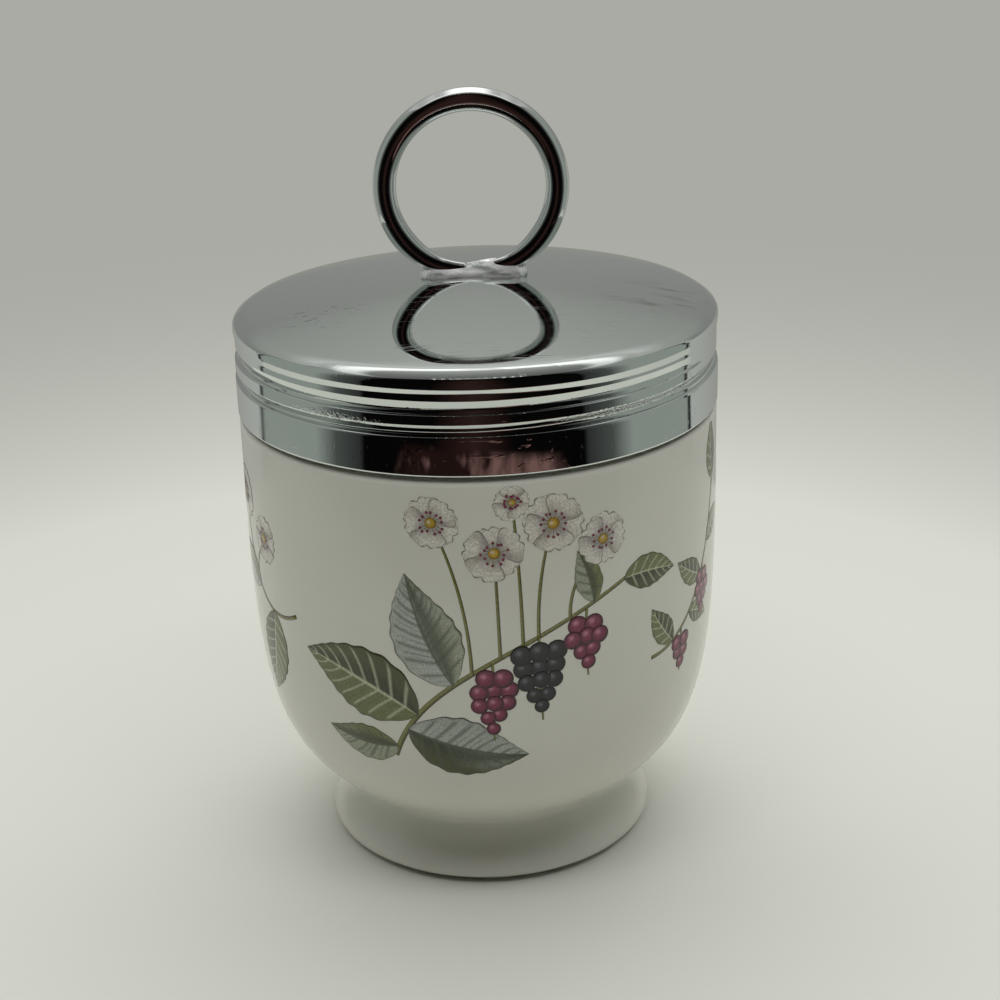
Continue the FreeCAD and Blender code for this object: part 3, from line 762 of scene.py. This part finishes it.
def ceramicInk():
    # ceramic colours screened on a transfer and fired under the same clear glaze: flat, a little grainy
    material, tree, place = startMaterial("ceramicInk")
    ink = addNode(tree, "Attribute", attribute_name="ink").outputs["Color"]
    # the screen's dots are 0.1 mm, and the grain is drawn at 0.25 mm, which still shows
    grain = addNode(tree, "TexNoise", {"Vector": place, "Scale": 1000 / 0.25, "Detail": 1.0})
    worn = addNode(tree, "MapRange", (grain, 0.35, 0.65, 0.82, 1.16))
    colour = addNode(tree, "VectorMath", (ink, worn), operation="SCALE")
    finishMaterial(tree, glazeShader(tree, colour))
    return material


mainSpray(-5, mainDesign)
mainSpray(175, mainDesign)
for turned in (0, 180):
    sprig(66 + turned, sprigDesign)
    sideSpray(-72 + turned, sideDesign)
ink = ceramicInk()
for kind, name in (("stems", "printed_stems"), ("leaves", "printed_leaves"), ("blossoms", "printed_blossoms"),
                   ("fruit", "printed_currants")):
    made = finishPatches(kind, name, ink)
    print(name, len(made.data.polygons))
print("sprays printed")


# Pressed lid

lid = dict(sheet=0.45, edgeRounding=0.28, wallStep=0.10, shoulder=1.0, columns=288, wallRows=178,
           grooveDepth=0.54, secondShallower=0.06, firstTurn=-125.0, lastTurn=430.0, fade=30.0,
           stepRise=0.26, topTaper=0.17, skirtTop=(5.0, 5.25), topBlend=0.3, innerRows=56,
           innerEdge=(0.06, 0.08), domeStart=0.15)
# course of the groove: heights over the lid's edge of its lower shoulder and of the foot and head of
# the taper over it
grooveCourse = dict(turn=(-125, -60, -37, 0, 26, 50, 90, 180, 300, 330, 360, 414),
                    step=(5.05, 5.10, 5.18, 5.28, 5.30, 5.32, 5.60, 6.55, 8.05, 8.02, 8.08, 8.35),
                    foot=(5.30, 5.62, 5.74, 5.88, 6.20, 6.38, 6.75, 7.45, 8.60, 8.56, 8.62, 8.90),
                    head=(6.10, 6.50, 6.66, 6.84, 7.00, 7.16, 7.60, 8.40, 9.90, 9.86, 9.88, 10.2))
upperTaper = dict(turn=(-180, -60, -35, 0, 30, 55, 180),
                  foot=(10.62, 10.62, 10.72, 10.93, 10.55, 10.60, 10.62),
                  head=(11.60, 11.62, 11.50, 11.38, 11.40, 11.62, 11.60))
domeLean = dict(radius=(0, 4, 8, 12, 16, 21.5, 25, 29, 31, 31.9, 32.2, 32.5, 32.9, 33.24),
                lean=(0.5, 3.6, 4.6, 5.6, 6.6, 8.2, 9.6, 11.6, 13.0, 14.2, 17.0, 23.0, 33.0, 45.0))
inner = dict(ridgeHeight=0.5, ridgeRoot=1.3, ridgeTip=0.5, frontHeight=71.8, firstTurn=-110.0,
             lastTurn=432.0, fade=45.0)

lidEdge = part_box("lid_shell")[0].z / mm
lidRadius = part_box("lid_shell")[1].x / mm
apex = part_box("lid_shell")[1].z / mm


def ramp(x, low, high):
    # 0 below low, 1 above high, straight between
    return np.clip((x - low) / (high - low), 0, 1)


def wallDepth(turn, height, g):
    # how far the rolled wall lies inside the skirt, as a sum of slopes. Going down, a short taper, a
    # straight stretch, and twice the groove's long taper with the steep shoulder under it
    top = [np.interp(turn, upperTaper["turn"], upperTaper[k]) for k in ("foot", "head")]
    depth = g["wallStep"] + g["topTaper"] * (1 - ramp(height, *top))
    onUpper = np.zeros_like(depth)
    for lap in (1, 0):
        course = turn + 360 * lap
        step, foot, head = (np.interp(course, grooveCourse["turn"], grooveCourse[k])
                            for k in ("step", "foot", "head"))
        fade = smooth(np.minimum(course - g["firstTurn"], g["lastTurn"] - course), 0, g["fade"])
        cut = (1 - ramp(height, foot, head)) * ramp(height, step, step + g["stepRise"])
        depth = depth + fade * (g["grooveDepth"] - g["secondShallower"] * lap) * cut
        below = 1 - ramp(height, step, step + g["stepRise"])
        onUpper = np.maximum(onUpper, fade * below)
    # under the first shoulder the wall is back at nearly its full radius
    depth = depth - onUpper * g["topTaper"] - g["wallStep"] * (1 - ramp(height, *g["skirtTop"]))
    # every corner of the sheet is a little rounded
    depth[1:-1] = 0.25 * depth[:-2] + 0.5 * depth[1:-1] + 0.25 * depth[2:]
    return depth


def innerRidge(turn, height, t):
    # how far the inside of the rolled groove stands in at each turn angle and height
    out = np.zeros(np.broadcast(turn, height).shape)
    for lap in (0, 1):
        angle = turn + 360 * lap
        middle = t["frontHeight"] + thread["lead"] * angle / 360
        fade = smooth(np.minimum(angle - t["firstTurn"], t["lastTurn"] - angle), 0, t["fade"])
        out = np.maximum(out, fade * ridgeProfile(abs(height - middle), t["ridgeRoot"], t["ridgeTip"]))
    return t["ridgeHeight"] * out


def domeOutline(wall, corner, top, n, cornerPoints):
    # rounded shoulder and dome, from the wall to the middle. The dome is added up from how far it
    # leans at each radius, because its middle is a little more conical than a sphere
    centre = wall - corner
    lastLean = domeLean["lean"][-1]
    edge = centre + corner * math.sin(math.radians(lastLean))
    radii = np.linspace(lid["domeStart"], edge, n)
    lean = np.radians(np.interp(radii, domeLean["radius"], domeLean["lean"]))
    lean[-1] = math.radians(lastLean)
    steps = np.diff(radii) * (np.tan(lean[1:]) + np.tan(lean[:-1])) / 2
    height = top - np.concatenate([[0], np.cumsum(steps)])
    middle = height[-1] - corner * math.cos(math.radians(lastLean))
    shoulderArc = arcPoints((centre, middle), corner, 0, 90 - lastLean, cornerPoints)
    return joined(shoulderArc, np.stack([radii, height], -1)[::-1]), middle


def makeLid(g, material):
    # one closed sheet turned round the axis: from the middle of the ceiling out, down the inside,
    # round the edge, up the rolled wall and over the dome
    upper = lidRadius - g["wallStep"]
    innerRadius = lidRadius - g["sheet"]
    rounding = g["edgeRounding"]
    domeTop, wallTop = domeOutline(upper, g["shoulder"], apex, 34, 14)
    ceiling, innerTop = domeOutline(innerRadius, g["shoulder"] - g["sheet"], apex - g["sheet"], 16, 8)
    turn = np.arange(g["columns"]) * 360 / g["columns"] - 180
    rows = np.linspace(lidEdge + rounding, wallTop, g["wallRows"])[:, None]
    wall = lidRadius - wallDepth(turn[None, :], rows - lidEdge, g)
    # the step blends into the shoulder's own radius over the last stretch
    wall = wall + (upper - wall) * smooth(rows, wallTop - g["topBlend"], wallTop)
    innerRows = np.linspace(innerTop, lidEdge + rounding, g["innerRows"])[:, None]
    innerWall = innerRadius - innerRidge(turn[None, :], innerRows, inner)
    out, up = g["innerEdge"]
    under = ceiling[:0:-1]
    edge = np.concatenate([[(innerRadius, lidEdge + up), (innerRadius + out, lidEdge)],
                           arcPoints((lidRadius - rounding, lidEdge + rounding), rounding, -90, 0, 6)[:-1]])
    wide = np.ones_like(turn)[None, :]
    radius = np.concatenate([under[:, :1] * wide, innerWall, edge[:, :1] * wide, wall,
                             domeTop[1:, :1] * wide])
    height = np.concatenate([under[:, 1:], innerRows, edge[:, 1:], rows, domeTop[1:, 1:]])
    piece = revolve("chromed_lid", around(radius, height, turn[None, :]), startPole=apex - g["sheet"],
                    endPole=apex, body="lid", material=material)
    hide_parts("lid_shell")
    return piece


def chrome(name, colour, roughness, wear, marks=()):
    # bright nickel-chrome plating: a clean mirror, dulled a little by fine scratches and smudges
    material, tree, place = startMaterial(name)
    # smudges are about 18 mm across
    smudge = addNode(tree, "TexNoise", {"Vector": place, "Scale": 55.0, "Detail": 4.0})
    rough = addNode(tree, "MapRange", (smudge, 0.45, 0.75, roughness, roughness + 0.10 * wear))
    # scratches lie across the lid, 0.3 mm apart and about 11 mm long
    drawn = addNode(tree, "Mapping", {
        "Vector": place, "Scale": (90.0, 3200.0, 900.0), "Rotation": (0.0, 0.0, math.radians(4))})
    scratch = addNode(tree, "TexNoise", {"Vector": drawn, "Scale": 1.0, "Detail": 2.0})
    height, shade = addNode(tree, "MapRange", (scratch, 0.62, 0.78)), toLinear(colour)
    for mark in marks:
        # each worn place is a soft patch of dark strokes, stains or crumpled metal
        off = addNode(tree, "VectorMath", (place, [v * mm for v in mark["centre"]]), operation="SUBTRACT")
        off = addNode(tree, "VectorMath", (off, [1 / (v * mm) for v in mark["reach"]]), operation="MULTIPLY")
        away = addNode(tree, "VectorMath", (off,), operation="LENGTH")
        inside = addNode(tree, "MapRange", (away, 1.0, 0.4))
        turned = addNode(tree, "Mapping", {
            "Vector": place, "Scale": mark["grain"], "Rotation": (0.0, 0.0, math.radians(mark["turn"]))})
        spots = addNode(tree, "TexNoise", {"Vector": turned, "Scale": 1.0, "Detail": 3.0})
        spots = addNode(tree, "MapRange", (spots, mark["low"], mark["high"]))
        here = addNode(tree, "Math", (spots, inside), operation="MULTIPLY")
        stained = addNode(tree, "Math", (here, mark["stain"]), operation="MULTIPLY")
        shade = addNode(tree, "Mix", (stained, shade, toLinear(mark["colour"])), data_type="RGBA")
        crumpled = addNode(tree, "Math", (here, mark["crumple"]), operation="MULTIPLY")
        height = addNode(tree, "Math", (height, crumpled), operation="ADD")
    bump = addNode(tree, "Bump", {"Height": height, "Strength": 0.5 * wear, "Distance": 0.000012})
    finishMaterial(tree, addNode(tree, "BsdfPrincipled", {
        "Base Color": shade, "Metallic": 1.0, "Roughness": rough, "Normal": bump}))
    return material


# worn places: strokes on the left, stains and scratches on the right, and two crumpled stretches of
# the groove. Their grain is in spots to the metre
lidMarks = [
    dict(centre=(-22, -11, 81), reach=(9, 7, 6), grain=(420, 1500, 400), turn=25, low=0.60, high=0.66,
         stain=0.55, colour="#56585A", crumple=0.0),
    dict(centre=(25, -6, 80.5), reach=(10, 9, 6), grain=(260, 620, 400), turn=-20, low=0.50, high=0.72,
         stain=0.5, colour="#776E69", crumple=0.0),
    dict(centre=(16, -17, 81), reach=(10, 12, 6), grain=(500, 5200, 900), turn=8, low=0.60, high=0.70,
         stain=0.3, colour="#8A8C8A", crumple=0.6),
    dict(centre=(20, -26.5, lidEdge + 6.6), reach=(13, 12, 0.75), grain=(2600, 2600, 2600), turn=0,
         low=0.35, high=0.75, stain=0.3, colour="#3A3C3C", crumple=24.0),
    dict(centre=(-18, -28, lidEdge + 7.0), reach=(9, 9, 0.6), grain=(2600, 2600, 2600), turn=0,
         low=0.45, high=0.8, stain=0.3, colour="#3A3C3C", crumple=8.0)]
lidChrome = chrome("platedLid", "#D6DBD8", 0.02, 1.0, lidMarks)
makeLid(lid, lidChrome)
domeTop, _ = domeOutline(lidRadius - lid["wallStep"], lid["shoulder"], apex, 34, 14)
domeShape = (domeTop[::-1, 0], domeTop[::-1, 1])
print("lid pressed and plated")


# Lifting ring

# the worn flat's half and its blend are in radians along the ring
ring = dict(radius=11.74, wire=3.2, thinWire=2.55, thinHalfAngle=42.0, thinBlend=(0.5, 1.35),
            flatDepth=0.2, flatTurn=24.4, flatHalfTurn=0.6, flatBlend=0.08,
            notchOffset=-0.7, notchWidth=0.9, notchDepth=0.75, columns=192, sides=64)
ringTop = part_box("lift_ring")[1].z / mm


def makeRing(r, material):
    # a torus: circles of wire round a larger circle, thinner near the solder, with a notch inside
    # where the two ends meet
    centre = ringTop - r["radius"] - r["wire"] / 2
    turn = np.arange(r["columns"]) * 2 * math.pi / r["columns"]     # from straight down
    round_ = np.arange(r["sides"]) * 2 * math.pi / r["sides"]
    fromBottom = np.degrees(np.minimum(turn, 2 * math.pi - turn))
    thin = 1 - smooth(fromBottom, *(r["thinHalfAngle"] * v for v in r["thinBlend"]))
    half = (r["wire"] + (r["thinWire"] - r["wire"]) * thin)[:, None] / 2
    # the front of its top is worn to a narrow flat
    flatEnds = (r["flatHalfTurn"] - r["flatBlend"], r["flatHalfTurn"] + r["flatBlend"])
    worn = r["flatDepth"] * (1 - smooth(abs(turn - math.pi), *flatEnds))
    towards = np.maximum(np.cos(round_ - math.radians(r["flatTurn"])), 0.2)[None, :]
    half = np.minimum(half, (half - worn[:, None]) / towards)
    along = np.where(turn > math.pi, turn - 2 * math.pi, turn)[:, None] * r["radius"]
    inward = np.maximum(0, -np.cos(round_))[None, :]
    fromNotch = abs(along - r["notchOffset"]) / (r["notchWidth"] / 2)
    notch = r["notchDepth"] * np.maximum(0, 1 - fromNotch) * inward
    distance = r["radius"] + (half - notch) * np.cos(round_)[None, :]
    depth = (half - notch * 0.3) * np.sin(round_)[None, :]
    side, up = np.sin(turn)[:, None], np.cos(turn)[:, None]
    points = np.stack([distance * side, -depth, centre - distance * up], -1)
    piece = addObject("lifting_ring", points.reshape(-1, 3),
                      [gridFaces(r["columns"], r["sides"], True, True)], "lid", material)
    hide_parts("lift_ring")
    return piece


ringChrome = chrome("platedRing", "#D8DBD9", 0.02, 0.4)
makeRing(ring, ringChrome)


# Solder pad

# lumps: how wide, how high. Fill: how much more on the right, from where and over what length
solder = dict(length=14.9, width=4.4, height=0.95, climb=0.7, rows=180, columns=60, sink=0.2,
              lumps=((2.6, 0.10), (1.2, 0.09), (0.6, 0.05), (0.35, 0.02)), lumpCount=60, fill=(0.6, 1.0, 1.5))


def makeSolder(s, material):
    # a low mound with blunt ends, drawn up to the wire as a hollow slope and left lumpy
    rng = np.random.default_rng(4)
    u = np.linspace(-1, 1, s["rows"])[:, None]
    v = np.sin(np.linspace(-math.pi / 2, math.pi / 2, s["columns"]))[None, :]
    halfLength, halfWidth = s["length"] / 2, s["width"] / 2
    plan = (1 - abs(u) ** 6) ** 0.5
    x = u * halfLength + 0 * v
    y = v * halfWidth * plan
    # a steep front and a flat back, level from end to end although the dome falls away
    rim = (1 - abs(v) ** 2.6) ** 0.6 * (1 - abs(u) ** 16) ** 0.5
    lumps = np.zeros_like(x)
    for size, amount in s["lumps"]:
        for _ in range(int(s["lumpCount"] / size)):
            cx, cy = rng.uniform(-halfLength, halfLength), rng.uniform(-halfWidth, halfWidth)
            away = ((x - cx) ** 2 + (y - cy) ** 2) / (size * 0.5) ** 2
            lumps += amount * rng.uniform(-1, 1) * np.exp(-away)
    # it fills the wedge beside the wire, more on the right
    more, start, blend = s["fill"]
    fill = s["climb"] * (1 - abs(v)) * (1 + more * np.tanh((x - start) / blend))
    y = y * (1 - 0.5 * abs(lumps) * rim)
    dome = np.interp(np.hypot(x, y), domeShape[0], domeShape[1])
    low = dome - s["sink"]
    top = dome + (apex - dome + s["height"] + lumps + fill) * rim - s["sink"] * (1 - rim) ** 4
    points = np.concatenate([np.stack([x, y, z], -1).reshape(-1, 3) for z in (top, low - 0.02)])
    faces = shellFaces(gridFaces(*x.shape)[:, ::-1], x.size)
    piece = addObject("ring_solder_pad", points, faces, "lid", material)
    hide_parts("ring_solder")
    return piece


def solderWithPaintedHighlights():
    # tin solder under thin plating: a lumpy, satin skin that is part metal and part pale oxide, with painted
    # highlight streaks in its colour
    material, tree, place = startMaterial("platedSolder")
    # it is lumpy at 1.5 mm, and its colour lies in pale streaks 4 mm long and 1 mm high, partly oxide and
    # partly painted highlight that runs to white
    grain = addNode(tree, "TexNoise", {"Vector": place, "Scale": 650.0, "Detail": 2.0})
    bump = addNode(tree, "Bump", {"Height": grain, "Strength": 0.6, "Distance": 0.0004})
    drawn = addNode(tree, "Mapping", {"Vector": place, "Scale": (0.4, 1.0, 1.6)})
    spots = addNode(tree, "TexNoise", {"Vector": drawn, "Scale": 620.0, "Detail": 3.0})
    # grey oxide to white: the palest streaks are a painted highlight
    stops = ((0.34, "#A6ABA8"), (0.48, "#EEF0ED"), (0.58, "#FFFFFF"))
    shade = addNode(tree, "ValToRGB", (spots,), stops=stops)
    finishMaterial(tree, addNode(tree, "BsdfPrincipled", {
        "Base Color": shade, "Metallic": 0.4, "Roughness": 0.14, "Normal": bump}))
    return material


solderChrome = solderWithPaintedHighlights()
makeSolder(solder, solderChrome)
print("ring soldered on")


# Seal washer

seal = dict(hole=29.3, rounding=0.25, columns=160)


def makeSeal(s, material):
    # a flat ring with its four edges rounded
    low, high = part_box("lid_seal")
    r = s["rounding"]
    outer, hole = high.x / mm - r, s["hole"] + r
    bottom, top = low.z / mm + r, high.z / mm - r
    corners = ((outer, bottom), (outer, top), (hole, top), (hole, bottom))
    outline = joined(*(arcPoints(corner, r, 90 * k - 90, 90 * k, 5) for k, corner in enumerate(corners)))
    turn = np.arange(s["columns"]) * 360 / s["columns"]
    grid = around(outline[:, :1], outline[:, 1:], turn[None, :])
    piece = revolve("seal_washer", grid, closeRows=True, body="seal", material=material)
    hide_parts("lid_seal")
    return piece


def sealRubber():
    # moulded white rubber, yellowed a little and matt from hot water
    material, tree, place = startMaterial("sealRubber")
    # bloom in patches about 3 mm across
    bloom = addNode(tree, "TexNoise", {"Vector": place, "Scale": 300.0, "Detail": 4.0})
    tone = addNode(tree, "Mix", (bloom, toLinear("#CFC9B6"), toLinear("#DDD8C8")), data_type="RGBA")
    grain = addNode(tree, "Bump", {"Height": bloom, "Strength": 0.3, "Distance": 0.00003})
    rubber = addNode(tree, "BsdfPrincipled", {"Base Color": tone, "Roughness": 0.75, "Normal": grain})
    finishMaterial(tree, rubber)
    return material


makeSeal(seal, sealRubber())
print("seal in place")
